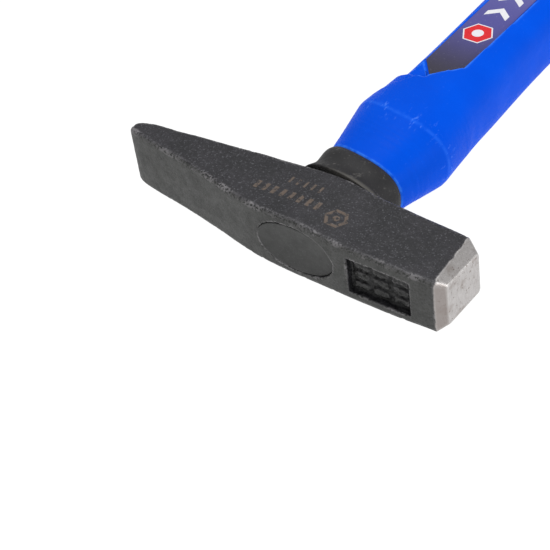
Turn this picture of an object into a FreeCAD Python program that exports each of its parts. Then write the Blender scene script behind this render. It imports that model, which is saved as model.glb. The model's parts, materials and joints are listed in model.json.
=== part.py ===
"""Cross-peen engineer's hammer with a square striking face, a 300 g head and a moulded handle.

The hammer lies on its side.  +X is the normal of the striking face, +Y runs along the handle from
the head to the butt, and +Z is the side that faces up, the cheek with the etched mark.  Everything
is drawn about the centre of the eye and moved at the end, so that the origin is the middle of the
underside of the whole hammer's bounding box.  Lengths are in millimetres.
"""
import FreeCAD, Part
import math
import os

V = FreeCAD.Vector

# ---- head -----------------------------------------------------------------------------------
FACE_X = 50.4            # striking face, from the centre of the eye
PEEN_X = -68.95          # peen edge
FACE_OUTER_X = 46.85     # where the ground bevel round the face starts, on the eye's axis
FACE_OUTER_SLANT = -0.09  # the bevel is wider on the handle side
FACE_OUTER_Y = (-10.3, 11.0)
FACE_OUTER_Z = 18.2
FACE_FLAT_Y = (-7.6, 8.3)
FACE_FLAT_Z = 14.0
FRONT_Y = -9.6           # face opposite the handle, at the eye
BACK_Y = 13.0            # face that the handle leaves from, beside the eye
EDGE_ROUND = 1.3         # rounding of the long edges

# rounded tip of the peen, then side profile of the forging: place along the head, front side,
# handle side and thickness there
TIP_STATIONS = [
    (PEEN_X, 3.0, 3.9, 17.2, 0.4),
    (PEEN_X + 0.75, 1.6, 5.2, 19.3, 1.0),
    (PEEN_X + 2.4, 0.8, 6.1, 20.2, EDGE_ROUND)]
HEAD_STATIONS = [
    (-64, 0.1, 7.0, 20.3),
    (-56, -1.3, 8.0, 20.2),
    (-48, -2.5, 9.1, 20.1),
    (-40, -3.9, 10.0, 20.1),
    (-32, -5.5, 11.0, 20.0),
    (-24, -7.3, 12.1, 19.8),
    (-16, -8.8, 12.75, 19.85),
    (-9, -9.4, 13.35, 20.3),
    (-2, -9.6, 13.75, 20.75),
    (3, -9.75, 13.75, 20.6),
    (8, -10.05, 13.5, 20.0),
    (13, -10.4, 12.9, 19.4),
    (19, -10.65, 12.4, 19.1),
    (27, -10.7, 11.9, 18.9),
    (35, -10.7, 11.5, 18.6),
    (42, -10.55, 11.25, 18.3)]

# eye: an oval that is waisted, so that the cast resin locks in it
EYE_FRONT = (13.2, 7.8)  # half length along X, half width along Z
EYE_WAIST = (11.4, 6.4)
EYE_BACK = (12.0, 6.8)
EYE_CENTRE_X = 0.7
EYE_ROUNDNESS = 2.1
RESIN_DISH = 0.6         # how far the cast resin sank below the front face

# pocket with raised forge marks, between the eye and the striking face
POCKET_X = (19.3, 39.9)
POCKET_Z = (-6.4, 5.7)
POCKET_FLOOR_Y = -8.2
PAD_ROWS = 3
PAD_COLUMNS = 3
PAD_GAP = 1.3
PAD_RISE = 0.9

# ---- handle ---------------------------------------------------------------------------------
ROUNDNESS = 2.35         # exponent of the oval sections: 2 is an ellipse, more is squarer
PANEL_ROUNDNESS = 3.1
COLLAR_TOP_Y = 24.3
COLLAR_HALF = (14.0, 10.2)
RIDGE_Y = 44.5
RIDGE_HALF = (17.1, 14.6)
PANEL_HALF = (13.1, 12.6)
GRIP_HALF = (16.8, 14.0)
BUTT_Y = 300.0
BUTT_HALF = (18.6, 14.6)

# station on the handle's axis, half size towards the face and peen, half size towards the
# cheeks, and the exponent of the oval
HANDLE_STATIONS = [
    (COLLAR_TOP_Y, *COLLAR_HALF, ROUNDNESS),
    (RIDGE_Y - 9.0, RIDGE_HALF[0] - 1.4, RIDGE_HALF[1] - 1.9, ROUNDNESS),
    (RIDGE_Y - 2.0, RIDGE_HALF[0] - 0.2, RIDGE_HALF[1] - 0.3, ROUNDNESS),
    (RIDGE_Y + 2.0, *RIDGE_HALF, ROUNDNESS),
    (61.0, 15.7, 13.9, 2.5),
    (72.0, 14.9, 13.5, 2.7),
    (90.0, PANEL_HALF[0] + 0.6, PANEL_HALF[1] + 0.3, 3.0),
    (110.0, *PANEL_HALF, PANEL_ROUNDNESS),
    (150.0, PANEL_HALF[0] + 1.0, PANEL_HALF[1] + 0.6, PANEL_ROUNDNESS),
    (190.0, GRIP_HALF[0] - 0.9, GRIP_HALF[1] - 0.4, 2.6),
    (222.0, *GRIP_HALF, 2.5),
    (256.0, GRIP_HALF[0] - 0.9, GRIP_HALF[1] - 0.6, 2.5),
    (276.0, BUTT_HALF[0] - 1.5, BUTT_HALF[1] - 0.8, 2.5),
    (290.0, *BUTT_HALF, 2.5),
    (296.5, BUTT_HALF[0] - 1.2, BUTT_HALF[1] - 1.2, 2.5),
    (BUTT_Y, BUTT_HALF[0] - 4.4, BUTT_HALF[1] - 4.4, 2.5)]

NECK_HALF = (11.6, 7.9)  # the shell's spigot inside the collar
NECK_START_Y = 15.0
# rubber collar: a foot that stands clear of the head and sits higher on the peen side, a groove
# and a bulge under the shell; station, half sizes and slant
COLLAR_STATIONS = [
    (13.9, 15.8, 11.1, -0.10),
    (15.2, 15.4, 10.9, -0.09),
    (18.2, 14.4, 10.3, -0.06),
    (20.4, 14.7, 10.6, -0.03),
    (COLLAR_TOP_Y - 1.2, 14.6, 10.6, 0.0),
    (COLLAR_TOP_Y, *COLLAR_HALF, 0.0)]
COLLAR_PLUG_HALF = (11.4, 6.9)
COLLAR_PLUG_Y = 12.2     # the plug closes the eye's mouth on the handle side

CORE_HALF = (8.0, 4.6)   # fibreglass rod
CORE_ROUNDNESS = 2.6
CORE_START_Y = -7.4
CORE_END_Y = 268.0

GRIP_TIP_Y = (172.0, 276.0)
GRIP_THICK = 2.4
GRIP_SLOPE = 0.5         # how fast the ends of the soft grip run to a point

HANG_HOLE_Y = 286.0
HANG_HOLE_R = 4.0
HANG_LAND_R = 6.2
HANG_LAND_Z = 11.0       # flat land round each mouth of the hole

# label panel on each cheek side, nearer the peen than the face
LABEL_CENTRE_X = -1.4
LABEL_TIP_Y = (62.6, 160.0)
LABEL_SLOPE = 1.2        # how fast the ends of the panel run to a point
LABEL_HALF = 6.5
LABEL_MARGIN = 0.5       # free edge of the pocket round the printed film
LABEL_FLOOR_Z = 11.2
FILM_THICK = 0.25

# the peen side of the handle is scooped lower beside the label, behind a step
# station, height of the flat part
SCOOP_STATIONS = [(61.0, 12.7), (77.0, 12.0), (95.0, 12.4), (116.0, 13.2)]
SCOOP_CORNER_X = -8.0
SCOOP_FALL = 1.17        # slope of the facet outside the corner


def oval_wire(y, half_x, half_z, power=ROUNDNESS, centre_x=0.0, count=32):
    """Closed superellipse in the plane at y on the handle's axis."""
    points = []
    for i in range(count):
        angle = 2 * math.pi * i / count
        along_x = abs(math.cos(angle) / half_x) ** power
        along_z = abs(math.sin(angle) / half_z) ** power
        radius = (along_x + along_z) ** (-1 / power)
        points.append(V(centre_x + radius * math.cos(angle), y, radius * math.sin(angle)))
    curve = Part.BSplineCurve()
    curve.interpolate(points, PeriodicFlag=True)
    return Part.Wire(curve.toShape())


def oval_loft(stations):
    """Solid through the ovals whose arguments are given."""
    return Part.makeLoft([oval_wire(*station) for station in stations], True, False)


def box_wire(x, low_y, high_y, width_z, corner=EDGE_ROUND):
    """Rounded rectangle in the plane at x: low_y..high_y by width_z."""
    half = width_z / 2
    bend = corner * (1 - math.sqrt(0.5))
    corners = [
        (high_y, half, -1, -1), (low_y, half, 1, -1), (low_y, -half, 1, 1), (high_y, -half, -1, 1)]
    arcs = []
    for i, (y, z, to_y, to_z) in enumerate(corners):
        beside = V(x, y, z + to_z * corner)
        below = V(x, y + to_y * corner, z)
        middle = V(x, y + to_y * bend, z + to_z * bend)
        arcs.append((beside, middle, below) if i % 2 == 0 else (below, middle, beside))
    edges = []
    for i, arc in enumerate(arcs):
        edges.append(Part.Arc(*arc).toShape())
        edges.append(Part.LineSegment(arc[2], arcs[(i + 1) % 4][0]).toShape())
    return Part.Wire(edges)


def slanted(wire, x_by_y=0.0, y_by_x=0.0):
    """The wire sheared along X in proportion to y, or along Y in proportion to x."""
    matrix = FreeCAD.Matrix()
    matrix.A12 = x_by_y
    matrix.A21 = y_by_x
    return wire.transformGeometry(matrix)


def head_body():
    """Forged blank: a wedge-shaped peen, a boss round the eye and the ground, bevelled face."""
    sections = [box_wire(*station) for station in TIP_STATIONS + HEAD_STATIONS]
    outer = slanted(box_wire(FACE_OUTER_X, *FACE_OUTER_Y, FACE_OUTER_Z), FACE_OUTER_SLANT)
    flat = box_wire(FACE_X, *FACE_FLAT_Y, FACE_FLAT_Z, EDGE_ROUND)
    forging = Part.makeLoft(sections + [outer], True, False)
    return forging.fuse(Part.makeLoft([outer, flat], True, True))


def eye_volume():
    """The oval hole through the head, wider at both mouths than in the middle."""
    places = [
        (FRONT_Y - 2, EYE_FRONT), (FRONT_Y + 2, EYE_FRONT), (0.0, EYE_WAIST),
        (BACK_Y - 2, EYE_BACK), (BACK_Y + 2, EYE_BACK)]
    return oval_loft([(y, *half, EYE_ROUNDNESS, EYE_CENTRE_X) for y, half in places])


def marking_pocket():
    """Shallow rectangular pocket in the front side, with a grid of low pads left standing in it."""
    low_x, high_x = POCKET_X
    low_z, high_z = POCKET_Z
    floor_y = POCKET_FLOOR_Y
    open_y = FRONT_Y - 4
    pocket = Part.makeBox(high_x - low_x, floor_y - open_y, high_z - low_z, V(low_x, open_y, low_z))
    pad_x = (high_x - low_x - PAD_GAP) / PAD_COLUMNS - PAD_GAP
    pad_z = (high_z - low_z - PAD_GAP) / PAD_ROWS - PAD_GAP
    for column in range(PAD_COLUMNS):
        for row in range(PAD_ROWS):
            corner = V(
                low_x + PAD_GAP + column * (pad_x + PAD_GAP), floor_y - PAD_RISE,
                low_z + PAD_GAP + row * (pad_z + PAD_GAP))
            pocket = pocket.cut(Part.makeBox(pad_x, PAD_RISE, pad_z, corner))
    return pocket


def scoop(side):
    """What is missing on the peen side of the label panel; side is 1 or -1 for the cheek."""
    reach = 14.0
    clear_z = 25.0
    wires = []
    for y, top in SCOOP_STATIONS:
        far_x = SCOOP_CORNER_X - reach
        outline = [
            (LABEL_CENTRE_X, clear_z), (LABEL_CENTRE_X, top), (SCOOP_CORNER_X, top),
            (far_x, top - reach * SCOOP_FALL), (far_x, clear_z), (LABEL_CENTRE_X, clear_z)]
        wires.append(Part.makePolygon([V(x, y, side * z) for x, z in outline]))
    return Part.makeLoft(wires, True, False)


def vee_prism(tips, slope, half, centre_x, low_z, high_z):
    """Prism along Z whose outline runs to a point at both ends, at the two tips on the axis."""
    rise = slope * half
    outline = [
        V(centre_x, tips[0], low_z), V(centre_x + half, tips[0] + rise, low_z),
        V(centre_x + half, tips[1] - rise, low_z), V(centre_x, tips[1], low_z),
        V(centre_x - half, tips[1] - rise, low_z), V(centre_x - half, tips[0] + rise, low_z)]
    outline.append(outline[0])
    return Part.Face(Part.makePolygon(outline)).extrude(V(0, 0, high_z - low_z))


def label_prism(inset, low_z, high_z):
    """The label pocket's outline, drawn in by inset, as a prism."""
    tip_shift = inset * math.hypot(1, LABEL_SLOPE)
    tips = (LABEL_TIP_Y[0] + tip_shift, LABEL_TIP_Y[1] - tip_shift)
    half = LABEL_HALF + LABEL_MARGIN - inset
    return vee_prism(tips, LABEL_SLOPE, half, LABEL_CENTRE_X, low_z, high_z)


def label_film(side):
    """Printed film on the pocket's floor, on the upper (1) or the lower (-1) cheek side."""
    heights = sorted((side * LABEL_FLOOR_Z, side * (LABEL_FLOOR_Z + FILM_THICK)))
    return label_prism(LABEL_MARGIN, *heights)


def neck_collar():
    """Rubber collar before the core, the shell's spigot and the head are taken out of it."""
    wires = []
    for y, half_x, half_z, slant in COLLAR_STATIONS:
        wires.append(slanted(oval_wire(y, half_x, half_z), y_by_x=slant))
    plug = oval_loft([(y, *COLLAR_PLUG_HALF) for y in (COLLAR_PLUG_Y, COLLAR_STATIONS[2][0])])
    return Part.makeLoft(wires, True, False).fuse(plug)


def soft_grip(envelope):
    """Overmoulded sleeve, flush with the shell, with pointed ends."""
    zone = vee_prism(GRIP_TIP_Y, GRIP_SLOPE, 40, 0, -40, 40)
    inner = [
        (y, half_x - GRIP_THICK, half_z - GRIP_THICK, power)
        for y, half_x, half_z, power in HANDLE_STATIONS if 140 < y < 295]
    return envelope.common(zone).cut(oval_loft(inner))


def hang_hole():
    """Hole across the butt, with a flat land round each mouth."""
    deep = 3 * BUTT_HALF[1]
    cutter = Part.makeCylinder(HANG_HOLE_R, deep, V(0, HANG_HOLE_Y, -deep / 2), V(0, 0, 1))
    for side in (-1, 1):
        start = V(0, HANG_HOLE_Y, side * HANG_LAND_Z)
        cutter = cutter.fuse(Part.makeCylinder(HANG_LAND_R, deep, start, V(0, 0, side)))
    return cutter


def build():
    """All pieces about the centre of the eye, as a dictionary from node name to solid."""
    core = oval_loft([(y, *CORE_HALF, CORE_ROUNDNESS) for y in (CORE_START_Y, CORE_END_Y)])
    eye = eye_volume()
    head = head_body().cut(eye).cut(marking_pocket())
    slab_y = FRONT_Y + RESIN_DISH
    slab = Part.makeBox(60, COLLAR_PLUG_Y - slab_y, 60, V(-30, slab_y, -30))
    resin = eye.common(slab).cut(core)

    spigot = oval_loft([(y, *NECK_HALF) for y in (NECK_START_Y, COLLAR_TOP_Y + 1)])
    collar = neck_collar().cut(spigot).cut(core).cut(head)

    envelope = oval_loft(HANDLE_STATIONS).cut(scoop(1)).cut(scoop(-1))
    grip = soft_grip(envelope)
    shell = envelope.fuse(spigot).cut(grip).cut(core).cut(hang_hole())
    for low_z, high_z in ((LABEL_FLOOR_Z, 30), (-30, -LABEL_FLOOR_Z)):
        shell = shell.cut(label_prism(0, low_z, high_z))

    return {
        "hammer_head": head,
        "eye_resin": resin,
        "fibreglass_core": core,
        "neck_collar": collar,
        "handle_shell": shell,
        "soft_grip": grip,
        "label_front": label_film(1),
        "label_back": label_film(-1)}


def main():
    pieces = build()
    whole = Part.makeCompound(list(pieces.values())).optimalBoundingBox(False)
    shift = V(-whole.Center.x, -whole.Center.y, -whole.ZMin)
    print("bounding box", [round(size, 3) for size in (whole.XLength, whole.YLength, whole.ZLength)])
    print("eye centre in the final frame", [round(value, 3) for value in shift])
    os.makedirs("parts", exist_ok=True)
    for name, shape in pieces.items():
        solid = shape.Solids[0]
        solid.translate(shift)
        print(name, len(shape.Solids), solid.isValid(), round(solid.Volume, 1))
        solid.exportStep("parts/" + name + ".step")


main()
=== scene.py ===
"""Looks for the cross-peen hammer: worn black lacquer, ground steel, blue moulded plastic."""
import json
import math

import bmesh
import bpy
import numpy as np
from mathutils import Matrix, Vector, noise


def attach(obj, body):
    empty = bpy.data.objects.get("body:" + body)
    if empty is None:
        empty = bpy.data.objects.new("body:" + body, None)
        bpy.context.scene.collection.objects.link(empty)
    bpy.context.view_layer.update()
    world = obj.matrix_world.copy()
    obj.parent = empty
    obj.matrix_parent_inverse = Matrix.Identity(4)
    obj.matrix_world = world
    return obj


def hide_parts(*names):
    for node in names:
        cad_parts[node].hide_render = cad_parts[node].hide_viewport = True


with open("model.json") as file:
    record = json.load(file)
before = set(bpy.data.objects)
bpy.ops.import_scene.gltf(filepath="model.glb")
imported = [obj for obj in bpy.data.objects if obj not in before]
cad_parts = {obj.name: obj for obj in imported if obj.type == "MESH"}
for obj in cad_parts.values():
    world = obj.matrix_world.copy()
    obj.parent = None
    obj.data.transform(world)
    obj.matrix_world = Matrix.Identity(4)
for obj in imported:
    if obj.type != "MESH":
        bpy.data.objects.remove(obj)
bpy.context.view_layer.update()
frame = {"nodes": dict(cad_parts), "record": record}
MM = 0.001
TRIANGLES = 190000       # the most that one piece keeps

# The striking face's mount gives the level of the eye's centre; all places below are in
# millimetres from there: x to the striking face, y to the butt, z to the upper cheek.
FACE_X = 50.4
mounts = {mount["name"]: mount for mount in frame["record"]["mounts"]}
EYE = Vector(mounts["striking_face"]["pos_m"]) - Vector((FACE_X * MM, 0, 0))


def at(x, y, z):
    """Row-frame point, in metres, of a place given in millimetres from the eye's centre."""
    return EYE + Vector((x, y, z)) * MM


# ---- meshes -----------------------------------------------------------------------------------
def coordinates(mesh):
    """Vertex coordinates in millimetres from the eye's centre."""
    values = np.empty(len(mesh.vertices) * 3, np.float32)
    mesh.vertices.foreach_get("co", values)
    return (values.reshape(-1, 3).astype(float) - np.array(EYE)) / MM


def set_coordinates(mesh, points):
    values = points * MM + np.array(EYE)
    mesh.vertices.foreach_set("co", values.astype(np.float32).ravel())
    mesh.update()


def normals(mesh):
    values = np.empty(len(mesh.vertices) * 3, np.float32)
    mesh.vertices.foreach_get("normal", values)
    return values.reshape(-1, 3).astype(float)


def edges_of(mesh):
    values = np.empty(len(mesh.edges) * 2, np.int32)
    mesh.edges.foreach_get("vertices", values)
    return values.reshape(-1, 2)


def relax(points, edges, rounds, factor=0.5):
    """Laplacian smoothing: each point moves towards the middle of its neighbours."""
    first, second = edges[:, 0], edges[:, 1]
    count = np.bincount(edges.ravel(), minlength=len(points))[:, None]
    for _ in range(rounds):
        total = np.zeros_like(points)
        for axis in range(points.shape[1]):
            total[:, axis] = np.bincount(first, points[second, axis], len(points))
            total[:, axis] += np.bincount(second, points[first, axis], len(points))
        points = points + (total / np.maximum(count, 1) - points) * factor
    return points


def fractal(points, size, seed, octaves=3, rough=0.8):
    """Smooth noise, about -1 to 1, whose largest features are about size millimetres."""
    shift = Vector((seed * 17.3, seed * 5.1, seed * 11.7))
    scaled = points / size
    values = [noise.fractal(Vector(p) + shift, rough, 2.0, octaves) for p in scaled]
    return np.array(values)


def smoothstep(low, high, values):
    t = np.clip((values - low) / (high - low), 0, 1)
    return t * t * (3 - 2 * t)


def store(mesh, name, values):
    layer = mesh.attributes.new(name, "FLOAT", "POINT")
    layer.data.foreach_set("value", values.astype(np.float32))


def new_object(name, mesh):
    piece = bpy.data.objects.new(name, mesh)
    bpy.context.scene.collection.objects.link(piece)
    return piece


def evaluated(piece):
    """Replaces a piece's mesh with what its modifiers make, and drops the modifiers."""
    graph = bpy.context.evaluated_depsgraph_get()
    mesh = bpy.data.meshes.new_from_object(piece.evaluated_get(graph))
    piece.modifiers.clear()
    piece.data = mesh
    return mesh


def refined(name, node, voxel, rounds):
    """An even, fine mesh in the shape of a CAD node, with its edges eased."""
    piece = new_object(name, frame["nodes"][node].data.copy())
    piece.data.materials.clear()
    remesh = piece.modifiers.new("fine", "REMESH")
    remesh.mode = "VOXEL"
    remesh.voxel_size = voxel * MM
    mesh = evaluated(piece)
    points = relax(coordinates(mesh), edges_of(mesh), rounds)
    set_coordinates(mesh, points)
    return piece


def thinned(piece):
    """Drops triangles where the surface is flat, down to about the most that a piece keeps."""
    mesh = piece.data
    mesh.calc_loop_triangles()
    have = len(mesh.loop_triangles)
    if have > TRIANGLES:
        thin = piece.modifiers.new("thin", "DECIMATE")
        thin.ratio = TRIANGLES / have
        evaluated(piece)


def finish_piece(piece, material, node):
    """Gives a piece its material and puts it in the place of a CAD node."""
    piece.data.materials.clear()
    piece.data.materials.append(material)
    piece.data.shade_smooth()
    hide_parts(node)
    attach(piece, "root")


# ---- materials --------------------------------------------------------------------------------
class Shader:
    """Small helper that builds one node material."""

    def __init__(self, name):
        self.material = bpy.data.materials.new(name)
        self.material.use_nodes = True
        self.tree = self.material.node_tree
        self.surface = self.tree.nodes["Principled BSDF"]
        geometry = self.tree.nodes.new("ShaderNodeTexCoord")
        self.place = self.math_vector("SUBTRACT", geometry.outputs["Object"], tuple(EYE))

    def link(self, source, target):
        if isinstance(source, (int, float)):
            target.default_value = source
        elif isinstance(source, tuple):
            target.default_value = source if len(source) == len(target.default_value) else (*source, 1)
        else:
            self.tree.links.new(source, target)

    def math(self, operation, first, second=0.0, clamp=False):
        node = self.tree.nodes.new("ShaderNodeMath")
        node.operation = operation
        node.use_clamp = clamp
        self.link(first, node.inputs[0])
        self.link(second, node.inputs[1])
        return node.outputs[0]

    def math_vector(self, operation, first, second):
        node = self.tree.nodes.new("ShaderNodeVectorMath")
        node.operation = operation
        self.link(first, node.inputs[0])
        self.link(second, node.inputs[1])
        return node.outputs[0]

    def axis(self, name):
        """The place along one axis, in millimetres from the eye's centre."""
        node = self.tree.nodes.new("ShaderNodeSeparateXYZ")
        self.link(self.place, node.inputs[0])
        return self.math("MULTIPLY", node.outputs[name], 1 / MM)

    def noise(self, size, detail=3.0, rough=0.55, stretch=(1, 1, 1), seed=0.0):
        """Noise from 0 to 1 whose features are about size millimetres."""
        scaled = self.math_vector("MULTIPLY", self.place, tuple(s / (size * MM) for s in stretch))
        moved = self.math_vector("ADD", scaled, (seed, seed * 0.7, seed * 1.3))
        node = self.tree.nodes.new("ShaderNodeTexNoise")
        self.link(moved, node.inputs["Vector"])
        node.inputs["Scale"].default_value = 1.0
        node.inputs["Detail"].default_value = detail
        node.inputs["Roughness"].default_value = rough
        return node.outputs["Fac"]

    def attribute(self, name):
        node = self.tree.nodes.new("ShaderNodeAttribute")
        node.attribute_name = name
        return node.outputs["Fac"]

    def band(self, value, low, high, to_low=0.0, to_high=1.0):
        """Smooth step of value between low and high, as a number from to_low to to_high."""
        node = self.tree.nodes.new("ShaderNodeMapRange")
        node.interpolation_type = "SMOOTHSTEP"
        self.link(value, node.inputs["Value"])
        for name, number in zip(("From Min", "From Max", "To Min", "To Max"), (low, high, to_low, to_high)):
            node.inputs[name].default_value = number
        return node.outputs["Result"]

    def mix(self, share, first, second):
        """Colour between first and second."""
        node = self.tree.nodes.new("ShaderNodeMix")
        node.data_type = "RGBA"
        self.link(share, node.inputs["Factor"])
        self.link(first, node.inputs["A"])
        self.link(second, node.inputs["B"])
        return node.outputs["Result"]

    def bump(self, height, distance, normal=None):
        """Bump from a height of 0 to 1; distance is its depth in millimetres."""
        node = self.tree.nodes.new("ShaderNodeBump")
        node.inputs["Distance"].default_value = distance * MM
        self.link(height, node.inputs["Height"])
        if normal:
            self.link(normal, node.inputs["Normal"])
        return node.outputs["Normal"]

    def set(self, **sockets):
        """Fills in the surface's sockets and gives back the material."""
        names = {"colour": "Base Color", "specular": "Specular IOR Level",
                 "roughness": "Roughness", "metallic": "Metallic", "normal": "Normal"}
        for key, value in sockets.items():
            self.link(value, self.surface.inputs[names[key]])
        return self.material


# hexagon worn into the cheek: centre, dot and ring across its flats; then the rows of bars:
# ends along x, ends along y, pitch and bar width
HEX_MARK = (10.5, -1.8)
HEX_DOT = 1.0
HEX_RING = (2.3, 3.3)
MARK_ROWS = [
    ((-19.0, 5.4), (-2.0, 1.2), 3.05, 1.5),
    ((-11.0, 1.9), (4.3, 6.9), 2.6, 0.9)]
MARK_SOFT = 0.18         # half width of a mark's faded edge
CHEEK_Z = 9.2            # only the cheeks lie further out than this


def cheek_marks(s):
    """A hexagon and rows of broken bars, worn into the lacquer of both cheeks; 1 on a mark."""
    x = s.axis("X")
    y = s.axis("Y")
    on_cheek = s.band(s.math("ABSOLUTE", s.axis("Z")), CHEEK_Z - 0.2, CHEEK_Z + 0.2)

    def within(value, low, high):
        return s.math("MULTIPLY", s.band(value, low - MARK_SOFT, low + MARK_SOFT),
                      s.band(value, high - MARK_SOFT, high + MARK_SOFT, 1, 0))

    def row(ends_x, ends_y, pitch, bar):
        place = s.math("FRACT", s.math("DIVIDE", s.math("SUBTRACT", x, ends_x[0]), pitch))
        bars = within(s.math("MULTIPLY", place, pitch), 0.2, bar)
        return s.math("MULTIPLY", bars, s.math("MULTIPLY", within(y, *ends_y), within(x, *ends_x)))

    from_x = s.math("ABSOLUTE", s.math("SUBTRACT", x, HEX_MARK[0]))
    from_y = s.math("ABSOLUTE", s.math("SUBTRACT", y, HEX_MARK[1]))
    slope = s.math("ADD", s.math("MULTIPLY", from_x, 0.866), s.math("MULTIPLY", from_y, 0.5))
    across_flats = s.math("MAXIMUM", slope, from_y)
    dot = s.band(across_flats, HEX_DOT - 0.2, HEX_DOT + 0.2, 1, 0)
    marks = s.math("MAXIMUM", within(across_flats, *HEX_RING), dot)
    for ends_x, ends_y, pitch, bar in MARK_ROWS:
        marks = s.math("MAXIMUM", marks, row(ends_x, ends_y, pitch, bar))
    worn = s.band(s.noise(1.5, 3, 0.7, seed=21), 0.36, 0.5)
    return s.math("MULTIPLY", s.math("MULTIPLY", marks, on_cheek), worn)


def lacquered_steel():
    """Black lacquer over forged scale, worn pale along its edges, with the face ground bare."""
    s = Shader("lacquered_steel")
    ground = s.attribute("ground")
    edge = s.attribute("edge")
    front = s.attribute("front")
    pocket = s.attribute("pocket")
    marks = cheek_marks(s)

    cloud = s.noise(9, 3, seed=2)
    grain = s.noise(0.55, 2, 0.6, seed=5)
    fleck = s.noise(0.8, 1, 0.5, seed=9)
    coarse = s.noise(1.6, 3, 0.7, seed=14)
    cheek = s.mix(s.band(cloud, 0.35, 0.7), (0.013, 0.013, 0.016), (0.023, 0.022, 0.027))
    cheek = s.mix(s.band(coarse, 0.5, 0.72, 0, 0.7), cheek, (0.044, 0.043, 0.050))
    # painted reflection: the front side (-y, the front mask) gets a lighter grey than the cheeks, as if it
    # mirrored the bright surroundings
    side = s.mix(s.band(cloud, 0.3, 0.7), (0.040, 0.041, 0.039), (0.056, 0.057, 0.054))
    paint = s.mix(front, cheek, side)
    paint = s.mix(s.band(grain, 0.35, 0.5, 0.45, 0), paint, (0.006, 0.006, 0.007))
    # painted glints: tiny pale flecks in the lacquer colour stand in for glints off its orange-peel gloss,
    # fewer on the front side
    painted_glint = s.band(grain, 0.58, 0.7, 0, 0.6)
    paint = s.mix(s.math("MULTIPLY", painted_glint, s.math("SUBTRACT", 1.0, s.math("MULTIPLY", front, 0.6))),
                  paint, (0.13, 0.13, 0.145))
    paint = s.mix(marks, paint, (0.115, 0.085, 0.066))
    dents = s.band(s.noise(7, 2, 0.6, seed=31), 0.45, 0.65, 0.25, 1.0)
    worn = s.math("MULTIPLY", edge, s.band(s.math("ADD", grain, fleck), 0.86, 1.02))
    worn = s.math("MULTIPLY", worn, dents)
    paint = s.mix(s.math("MULTIPLY", worn, 0.85), paint, (0.24, 0.23, 0.24))
    # painted shade: darker inside the recessed pocket, less so on its raised pads
    paint = s.mix(s.math("MULTIPLY", pocket, 0.8), paint, (0.010, 0.010, 0.011))

    steel_grain = s.noise(0.5, 3, 0.7, stretch=(1, 1, 0.22), seed=3)
    steel = s.mix(steel_grain, (0.34, 0.32, 0.31), (0.62, 0.60, 0.595))
    cloud_steel = s.noise(5, 3, 0.6, seed=17)
    steel = s.mix(s.band(cloud_steel, 0.5, 0.68, 0, 0.6), steel, (0.30, 0.26, 0.24))
    pits = s.band(s.noise(1.1, 3, 0.7, seed=7), 0.6, 0.68)
    steel = s.mix(s.math("MULTIPLY", pits, 0.8), steel, (0.13, 0.085, 0.065))
    # painted shade: the ground face's front-facing bevel is darkened, as less light falls on it
    steel = s.mix(s.math("MULTIPLY", s.attribute("front_bevel_shade"), 0.75), steel, (0.27, 0.235, 0.22))
    # painted highlight: a bright line along the convex edges of the ground face
    steel_edge_highlight = s.math("MULTIPLY", s.math("MULTIPLY", edge, ground), 0.2)
    steel = s.mix(steel_edge_highlight, steel, (0.75, 0.74, 0.73))

    colour = s.mix(ground, paint, steel)
    rough_paint = s.band(s.noise(3, 2, seed=1), 0.2, 0.8, 0.42, 0.6)
    rough = s.math("ADD", s.math("MULTIPLY", rough_paint, s.math("SUBTRACT", 1.0, ground)),
                   s.math("MULTIPLY", ground, 0.45))
    scratches = s.noise(0.45, 3, 0.7, stretch=(1, 0.15, 1), seed=25)
    relief = s.math("ADD", s.noise(0.5, 3, 0.65, seed=4), s.math("MULTIPLY", scratches, ground))
    normal = s.bump(s.math("SUBTRACT", relief, s.math("MULTIPLY", marks, 0.8)), 0.06)
    return s.set(colour=colour, roughness=rough, metallic=s.math("MULTIPLY", ground, 0.9),
                 specular=0.35, normal=normal)


def cast_resin():
    """The resin cast in the eye: smooth, dark, a little paler where the lacquer has rubbed."""
    s = Shader("cast_resin")
    tone = s.mix(s.noise(4, 3, seed=3), (0.030, 0.031, 0.030), (0.050, 0.051, 0.049))
    # painted shade: the resin's colour darkens towards the lower cheek (-z)
    tone = s.mix(s.band(s.axis("Z"), -7, 5, 0.45, 0), tone, (0.016, 0.016, 0.016))
    tone = s.mix(s.band(s.noise(0.6, 2, 0.6, seed=8), 0.58, 0.72, 0, 0.4), tone, (0.09, 0.09, 0.095))
    return s.set(colour=tone, roughness=s.band(s.noise(2.5), 0.3, 0.7, 0.42, 0.55),
                 specular=0.35, normal=s.bump(s.noise(1.2, 3, 0.6), 0.05))


def blue_plastic():
    """Satin blue plastic with a fine moulded grain, scuffed and paler along the shoulder, with a painted
    highlight along its sharp edges and the shoulder's crease.
    """
    s = Shader("blue_plastic")
    tone = s.mix(s.noise(12, 3, seed=4), (0.0, 0.068, 0.64), (0.0, 0.090, 0.77))
    specks = s.band(s.noise(0.7, 2, 0.6, seed=8), 0.68, 0.76, 0, 0.35)
    tone = s.mix(specks, tone, (0.04, 0.18, 0.95))
    scuff = s.band(s.noise(1.4, 3, 0.75, stretch=(1, 0.35, 1), seed=12), 0.58, 0.68, 0, 0.5)
    tone = s.mix(s.math("MULTIPLY", s.attribute("ridge"), scuff), tone, (0.10, 0.28, 0.95))
    # painted highlight: a broken pale line along the sharp edges and the shoulder's crease
    sharp = s.math("MAXIMUM", s.attribute("edge"), s.attribute("crease"))
    rim = s.math("MULTIPLY", sharp, s.band(s.noise(2.5, 3, seed=15), 0.3, 0.6, 0.2, 0.8))
    tone = s.mix(rim, tone, (0.04, 0.22, 0.98))
    return s.set(colour=tone, roughness=s.band(s.noise(6, 2), 0.3, 0.7, 0.4, 0.5),
                 specular=0.03, normal=s.bump(s.noise(0.5, 2, 0.6, seed=6), 0.035))


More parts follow.
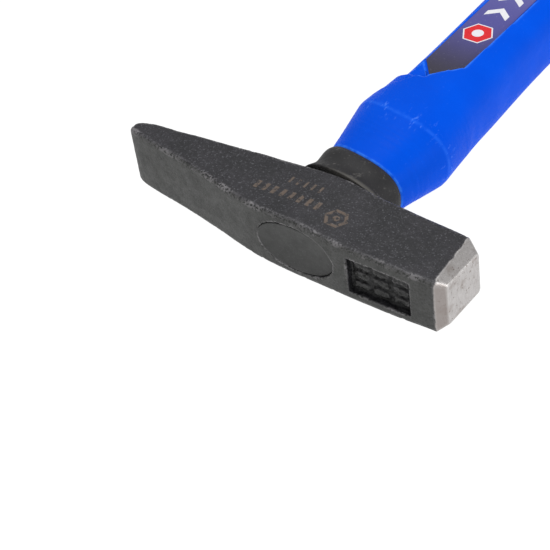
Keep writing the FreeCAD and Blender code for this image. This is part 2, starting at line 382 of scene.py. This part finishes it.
def collar_rubber():
    """Black rubber with pale dust rubbed into its foot and in patches."""
    s = Shader("collar_rubber")
    tone = s.mix(s.noise(5, 3, seed=2), (0.013, 0.013, 0.014), (0.024, 0.023, 0.025))
    dust = s.math("ADD", s.noise(1.1, 3, 0.7, seed=5), s.math("MULTIPLY", s.noise(6, 2, seed=11), 0.6))
    tone = s.mix(s.band(dust, 0.88, 1.05, 0, 0.5), tone, (0.12, 0.115, 0.11))
    foot = s.band(s.axis("Y"), 13.6, 15.0, 0.35, 0)
    tone = s.mix(foot, tone, (0.20, 0.19, 0.17))
    return s.set(colour=tone, roughness=0.62, specular=0.3,
                 normal=s.bump(s.noise(0.8, 3, 0.6), 0.06))


def grip_rubber():
    s = Shader("grip_rubber")
    tone = s.mix(s.noise(6, 3, seed=2), (0.014, 0.014, 0.015), (0.026, 0.026, 0.028))
    high = s.attribute("high")
    tone = s.mix(s.math("MULTIPLY", high, s.band(s.noise(1.0, 3, 0.7), 0.45, 0.7, 0, 0.5)),
                 tone, (0.075, 0.074, 0.075))
    return s.set(colour=tone, roughness=0.68, specular=0.3,
                 normal=s.bump(s.noise(0.6, 3, 0.6), 0.05))


def fibreglass():
    """Pultruded rod: long fibres along the handle in a yellowish resin."""
    s = Shader("fibreglass")
    fibres = s.noise(0.5, 3, 0.7, stretch=(1, 0.03, 1), seed=2)
    tone = s.mix(fibres, (0.42, 0.36, 0.17), (0.72, 0.66, 0.42))
    return s.set(colour=tone, roughness=0.5, normal=s.bump(fibres, 0.06))


def printed_film():
    """Label film, deep blue at the head end and paler violet towards the butt."""
    s = Shader("printed_film")
    y = s.axis("Y")
    low = s.mix(s.band(y, 66, 98), (0.040, 0.036, 0.055), (0.085, 0.080, 0.30))
    tone = s.mix(s.band(y, 96, 135), low, (0.16, 0.155, 0.42))
    tone = s.mix(s.band(s.noise(0.8, 3, 0.7, seed=3), 0.6, 0.75, 0, 0.25), tone, (0.4, 0.4, 0.5))
    return s.set(colour=tone, roughness=s.band(s.noise(5), 0.3, 0.7, 0.3, 0.42),
                 specular=0.35, normal=s.bump(s.noise(1.5, 2, seed=6), 0.02))


def ink(name, colour, other):
    s = Shader(name)
    tone = s.mix(s.noise(1.5, 3, 0.6), colour, other)
    return s.set(colour=tone, roughness=s.band(s.noise(3), 0.3, 0.7, 0.32, 0.45),
                 specular=0.3, normal=s.bump(s.noise(0.8), 0.01))


# ---- head -------------------------------------------------------------------------------------
GROUND_X = 46.85         # boundary of the ground face, on the eye's axis
GROUND_SLANT = -0.09     # and how it moves with y
FRONT_Y = -10.7          # front side of the head, beside the pocket
POCKET_X = (19.3, 39.9)  # pocket with forge marks, in the front side
POCKET_Z = (-6.4, 5.7)
POCKET_DEPTH = 2.4
EYE_CENTRE_X = 0.7       # mouth of the eye in the front side
EYE_HALF = (13.2, 7.8)
RESIN_FRONT_Y = -8.5     # only the resin's front face lies in front of this
RESIN_RISE = 0.55
RESIN_DISH = 0.35


def build_resin():
    """The resin keeps its shape, but its front face rises to the rim of the eye."""
    resin = refined("cast_resin", "eye_resin", 0.3, 1)
    mesh = resin.data
    points = coordinates(mesh)
    x, y, z = points.T
    outward = np.hypot((x - EYE_CENTRE_X) / EYE_HALF[0], z / EYE_HALF[1])
    middle = 1 - np.clip(outward, 0, 1) ** 2
    at_front = smoothstep(-RESIN_FRONT_Y - 0.3, -RESIN_FRONT_Y + 0.3, -y)
    rise = RESIN_RISE - RESIN_DISH * middle - 0.03 * fractal(points, 3, 5)
    points[:, 1] = y - at_front * rise
    set_coordinates(mesh, points)
    finish_piece(resin, cast_resin(), "eye_resin")


def within_pocket(x, z):
    """1 inside the outline of the pocket, falling to 0 just outside."""
    inside = 1.0
    for values, (low, high) in ((x, POCKET_X), (z, POCKET_Z)):
        inside = inside * smoothstep(low - 0.6, low + 0.4, values)
        inside = inside * smoothstep(-high - 0.6, -high + 0.4, -values)
    return inside


def build_head():
    """The forging: uneven skin, chipped edges, rounded lumpy pads and the bare ground face."""
    head = refined("head_forging", "hammer_head", 0.26, 3)
    mesh = head.data
    edges = edges_of(mesh)
    points = coordinates(mesh)
    out = normals(mesh)
    x, y, z = points.T
    hollow = relax(points, edges, 12) - points
    edge = smoothstep(0.012, 0.06, -(hollow * out).sum(1))
    line = GROUND_X + GROUND_SLANT * y + 0.3 * fractal(points, 3.0, 1)
    ground = smoothstep(-0.15, 0.15, x - line)
    faces_front = -out[:, 1]

    inside = within_pocket(x, z)
    pocket = inside * smoothstep(FRONT_Y + 0.5, FRONT_Y + 1.1, y) * smoothstep(4.0, 5.0, -y)
    points = points + (0.75 * pocket)[:, None] * (relax(points, edges, 25) - points)
    depth = smoothstep(0.5, 1.2, y - FRONT_Y) * smoothstep(4.0, 5.0, -y) * inside
    raised = 1 - smoothstep(FRONT_Y + 1.2, FRONT_Y + POCKET_DEPTH, y)
    pads = smoothstep(0.3, 0.8, faces_front) * inside * raised

    blank = 1 - ground
    keep = smoothstep(0, 2.0, FACE_X - x) * blank
    forged = keep * (0.07 * fractal(points, 14, 2) + 0.03 * fractal(points, 2.2, 3))
    lumps = pocket * (0.42 * fractal(points, 1.7, 6) + 0.18 * fractal(points, 0.8, 7))
    chips = blank * edge * smoothstep(0.15, 0.6, fractal(points, 1.6, 4)) * 0.14
    set_coordinates(mesh, points + out * (forged + lumps - chips)[:, None])
    store(mesh, "edge", edge)
    store(mesh, "ground", ground)
    # painted shade mask: the part of the ground face that faces the front
    store(mesh, "front_bevel_shade", ground * smoothstep(0.12, 0.4, faces_front))
    # front side mask; the lacquer uses it to paint a lighter reflection there and to dim the painted glints
    store(mesh, "front", smoothstep(0.3, 0.8, faces_front))
    # mask for the painted shade in the pocket's recess, weaker on the raised pads
    store(mesh, "pocket", np.clip(depth * (1 - 0.55 * pads), 0, 1))
    thinned(head)
    finish_piece(head, lacquered_steel(), "hammer_head")


# ---- handle -----------------------------------------------------------------------------------
COLLAR_TOP_Y = 24.3
RIDGE_Y = 43.1
# the shell's half sizes, along X and Z, at stations on the handle's axis
SHOULDER_STATIONS = [24.3, 42.4, 43.8, 52.0, 61.0]
SHOULDER_X = [14.0, 18.0, 18.05, 17.0, 15.9]
SHOULDER_Z = [10.2, 13.2, 13.25, 13.6, 13.75]
SHOULDER_BLEND = 4.0     # over this last stretch the sizes go back to those of the CAD
SLANT = -0.15            # how far a point on the neck moves along the handle with its x
BOW = 0.008              # and with its x squared
STEP_CORNER = (-1.35, 63.9)
STEP_ACROSS = (-0.765, 0.644)  # direction across the step, towards the butt
STEP_DEPTH = 0.5
LABEL_EDGE_X = -8.4      # peen side of the label pocket


def slanted(points):
    """Lets the neck sit higher on the peen side than by the face."""
    x, y, z = points.T
    share = smoothstep(15, 24, y) * (1 - smoothstep(50, 66, y))
    return np.stack([x, y + share * (SLANT * x + BOW * x * x), z], 1)


def reprofiled(points, axis, wanted):
    """Scales the shoulder along one axis until its half size follows the one wanted."""
    y = points[:, 1]
    places = np.arange(SHOULDER_STATIONS[0] + 0.5, SHOULDER_STATIONS[-1], 0.5)
    have = [np.abs(points[np.abs(y - place) < 0.4, axis]).max() for place in places]
    ratio = np.interp(places, SHOULDER_STATIONS, wanted) / np.array(have)
    blend = np.clip((SHOULDER_STATIONS[-1] - places) / SHOULDER_BLEND, 0, 1)
    ratio = 1 + (ratio - 1) * blend
    return points[:, axis] * np.interp(y, places, ratio, left=1.0, right=1.0)


def build_shell():
    """The blue shell, with a hard crease at the shoulder and a step beside the label."""
    shell = refined("handle_body", "handle_shell", 0.4, 2)
    mesh = shell.data
    points = coordinates(mesh)
    out = normals(mesh)
    hollow = relax(points, edges_of(mesh), 8) - points
    edge = smoothstep(0.03, 0.12, -(hollow * out).sum(1))
    ridge = smoothstep(38, RIDGE_Y, points[:, 1]) * (1 - smoothstep(RIDGE_Y, 50, points[:, 1]))
    crease = 1 - smoothstep(0.2, 0.9, np.abs(points[:, 1] - RIDGE_Y))
    wide = reprofiled(points, 0, SHOULDER_X)
    points[:, 2] = reprofiled(points, 2, SHOULDER_Z)
    points[:, 0] = wide

    x, y, z = points.T
    beyond = STEP_ACROSS[0] * (x - STEP_CORNER[0]) + STEP_ACROSS[1] * (y - STEP_CORNER[1])
    above_film = smoothstep(11.7, 12.0, np.abs(z))
    outer = np.where(x > LABEL_EDGE_X, above_film, smoothstep(2, 6, np.abs(z)))
    step = smoothstep(-0.3, 0.3, beyond) * (1 - smoothstep(2, 20, beyond)) * outer
    step *= smoothstep(-STEP_CORNER[0] - 1.0, -STEP_CORNER[0] + 1.0, -x)
    points = points - out * (STEP_DEPTH * step)[:, None]
    set_coordinates(mesh, slanted(points))
    store(mesh, "ridge", ridge)
    # the crease mask only feeds the painted highlight along the shoulder's crease
    store(mesh, "crease", 0.28 * crease)
    store(mesh, "edge", edge)
    thinned(shell)
    finish_piece(shell, blue_plastic(), "handle_shell")


def build_collar():
    """The rubber collar, slanted with the shoulder and a little uneven."""
    collar = refined("collar", "neck_collar", 0.22, 2)
    mesh = collar.data
    points = slanted(coordinates(mesh))
    out = normals(mesh)
    rough = 0.05 * fractal(points, 4, 2) + 0.02 * fractal(points, 1.2, 3)
    y = points[:, 1]
    outer = smoothstep(12.5, 13.2, y) * smoothstep(-COLLAR_TOP_Y, 0.5 - COLLAR_TOP_Y, -y)
    set_coordinates(mesh, points + out * (rough * outer)[:, None])
    finish_piece(collar, collar_rubber(), "neck_collar")


GRIP_PITCH = 3.4         # crossed spiral grooves in the soft grip
GRIP_GROOVE = 0.35
GRIP_RADIUS = 15.0


def build_grip():
    """The soft grip, with grooves cut into its outside only."""
    grip = refined("grip", "soft_grip", 0.4, 2)
    mesh = grip.data
    points = coordinates(mesh)
    out = normals(mesh)
    x, y, z = points.T
    radial = (out[:, 0] * x + out[:, 2] * z) / np.hypot(x, z)
    outer = smoothstep(0.75, 0.92, radial) * smoothstep(11.5, 12.5, np.hypot(x, z))
    around = np.arctan2(z, x) * GRIP_RADIUS
    groove = 0.0
    for spiral in (y + around, y - around):
        wave = np.abs(np.cos(spiral * math.pi / GRIP_PITCH))
        groove = np.maximum(groove, smoothstep(0.72, 0.95, wave))
    set_coordinates(mesh, points - out * (GRIP_GROOVE * groove * outer)[:, None])
    store(mesh, "high", outer * (1 - groove))
    thinned(grip)
    finish_piece(grip, grip_rubber(), "soft_grip")


# ---- printed marks on the label: a nut and a run of chevrons ------------------------------------
FILM_Z = 11.45
INK_THICK = 0.03
NUT_PLACE = (-1.4, 90.0)
NUT_RADIUS = 4.8
CHEVRONS = (99.5, 108.0, 116.5, 125.0, 133.5, 142.0)
CHEVRON_HALF = 3.9


def flat_print(name, outlines, side, lift):
    """Thin plates on the film of one side, one for each closed outline."""
    shape = bmesh.new()
    for outline in outlines:
        low = FILM_Z + lift
        base = [shape.verts.new(at(x, y, side * low)) for x, y in outline]
        top = [shape.verts.new(at(x, y, side * (low + INK_THICK))) for x, y in outline]
        shape.faces.new(base)
        shape.faces.new(top)
        for index in range(len(outline)):
            after = (index + 1) % len(outline)
            shape.faces.new((base[index], base[after], top[after], top[index]))
    bmesh.ops.recalc_face_normals(shape, faces=shape.faces)
    mesh = bpy.data.meshes.new(name)
    shape.to_mesh(mesh)
    shape.free()
    return new_object(name, mesh)


def polygon(centre, radius, count):
    """Corners of a regular polygon."""
    corners = []
    for index in range(count):
        angle = 2 * math.pi * index / count
        corners.append((centre[0] + radius * math.cos(angle), centre[1] + radius * math.sin(angle)))
    return corners


def chevron(y):
    """Outline of an arrow head that points to the butt, with its feet at y."""
    middle = NUT_PLACE[0]
    half = CHEVRON_HALF
    return [(middle - half, y), (middle, y + 3.2), (middle + half, y), (middle + half, y + 2.6),
            (middle, y + 5.8), (middle - half, y + 2.6)]


def build_print():
    white = ink("white_ink", (0.72, 0.72, 0.76), (0.85, 0.85, 0.88))
    red = ink("red_ink", (0.62, 0.012, 0.02), (0.78, 0.025, 0.03))
    for label, side in (("front", 1), ("back", -1)):
        pieces = (
            (f"nut_edge_{label}", [polygon(NUT_PLACE, NUT_RADIUS + 0.5, 6)], 0.0, white),
            (f"nut_{label}", [polygon(NUT_PLACE, NUT_RADIUS, 6)], INK_THICK, red),
            (f"nut_bore_{label}", [polygon(NUT_PLACE, 1.9, 24)], 2 * INK_THICK, white),
            (f"chevrons_{label}", [chevron(y) for y in CHEVRONS], 0.0, white))
        for name, outlines, lift, material in pieces:
            piece = flat_print(name, outlines, side, lift)
            piece.data.materials.append(material)
            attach(piece, "root")


def paint_carried():
    """Materials for the pieces that keep the mesh they came with."""
    film = printed_film()
    for node, material in (("fibreglass_core", fibreglass()), ("label_front", film),
                           ("label_back", film)):
        mesh = frame["nodes"][node].data
        mesh.materials.clear()
        mesh.materials.append(material)


# ---- stage ------------------------------------------------------------------------------------
CAMERA_AZIMUTH = math.radians(42.81)
CAMERA_HEIGHT = math.radians(41.46)
CAMERA_ROLL = math.radians(-8.62)
CAMERA_DISTANCE = 510.4
CAMERA_SIDE = -10.8
CAMERA_UP = -12.9
CAMERA_LENS = 117.8


def camera_axes():
    back = Vector((
        math.sin(CAMERA_AZIMUTH) * math.cos(CAMERA_HEIGHT),
        -math.cos(CAMERA_AZIMUTH) * math.cos(CAMERA_HEIGHT), math.sin(CAMERA_HEIGHT)))
    right = Vector((math.cos(CAMERA_AZIMUTH), math.sin(CAMERA_AZIMUTH), 0))
    up = back.cross(right)
    turn = Matrix.Rotation(CAMERA_ROLL, 3, back)
    return turn @ right, turn @ up, back


def build_camera():
    data = bpy.data.cameras.new("camera")
    data.lens = CAMERA_LENS
    camera = bpy.data.objects.new("camera", data)
    right, up, back = camera_axes()
    place = EYE + (right * CAMERA_SIDE + up * CAMERA_UP + back * CAMERA_DISTANCE) * MM
    turn = Matrix((right, up, back)).transposed().to_4x4()
    camera.matrix_world = Matrix.Translation(place) @ turn
    bpy.context.scene.collection.objects.link(camera)
    bpy.context.scene.camera = camera


def build_light(name, place, size, power, target=(0, 20, 0)):
    data = bpy.data.lights.new(name, "AREA")
    data.shape = "DISK"
    data.size = size
    data.energy = power
    lamp = bpy.data.objects.new(name, data)
    spot = at(*place)
    lamp.location = spot
    lamp.rotation_euler = (at(*target) - spot).to_track_quat("-Z", "Y").to_euler()
    bpy.context.scene.collection.objects.link(lamp)


def build_stage():
    mesh = bpy.data.meshes.new("floor")
    shape = bmesh.new()
    bmesh.ops.create_grid(shape, x_segments=2, y_segments=2, size=3.0)
    shape.to_mesh(mesh)
    shape.free()
    floor = new_object("floor", mesh)
    material = bpy.data.materials.new("floor")
    material.use_nodes = True
    surface = material.node_tree.nodes["Principled BSDF"]
    surface.inputs["Base Color"].default_value = (0.05, 0.05, 0.05, 1)
    surface.inputs["Roughness"].default_value = 0.9
    surface.inputs["Specular IOR Level"].default_value = 0.0
    surface.inputs["Emission Color"].default_value = (1, 1, 1, 1)
    surface.inputs["Emission Strength"].default_value = 1.02
    mesh.materials.append(material)

    world = bpy.data.worlds.new("tent")
    bpy.context.scene.world = world
    world.use_nodes = True
    world.node_tree.nodes["Background"].inputs["Color"].default_value = (1, 1, 1, 1)
    world.node_tree.nodes["Background"].inputs["Strength"].default_value = 0.42
    bpy.context.scene.view_settings.view_transform = "Standard"
    build_light("key", (-150, 100, 650), 0.35, 2.6)
    build_light("face_side", (650, 100, 250), 0.4, 2.0)


build_head()
build_resin()
build_shell()
build_collar()
build_grip()
build_print()
paint_carried()
build_camera()
build_stage()
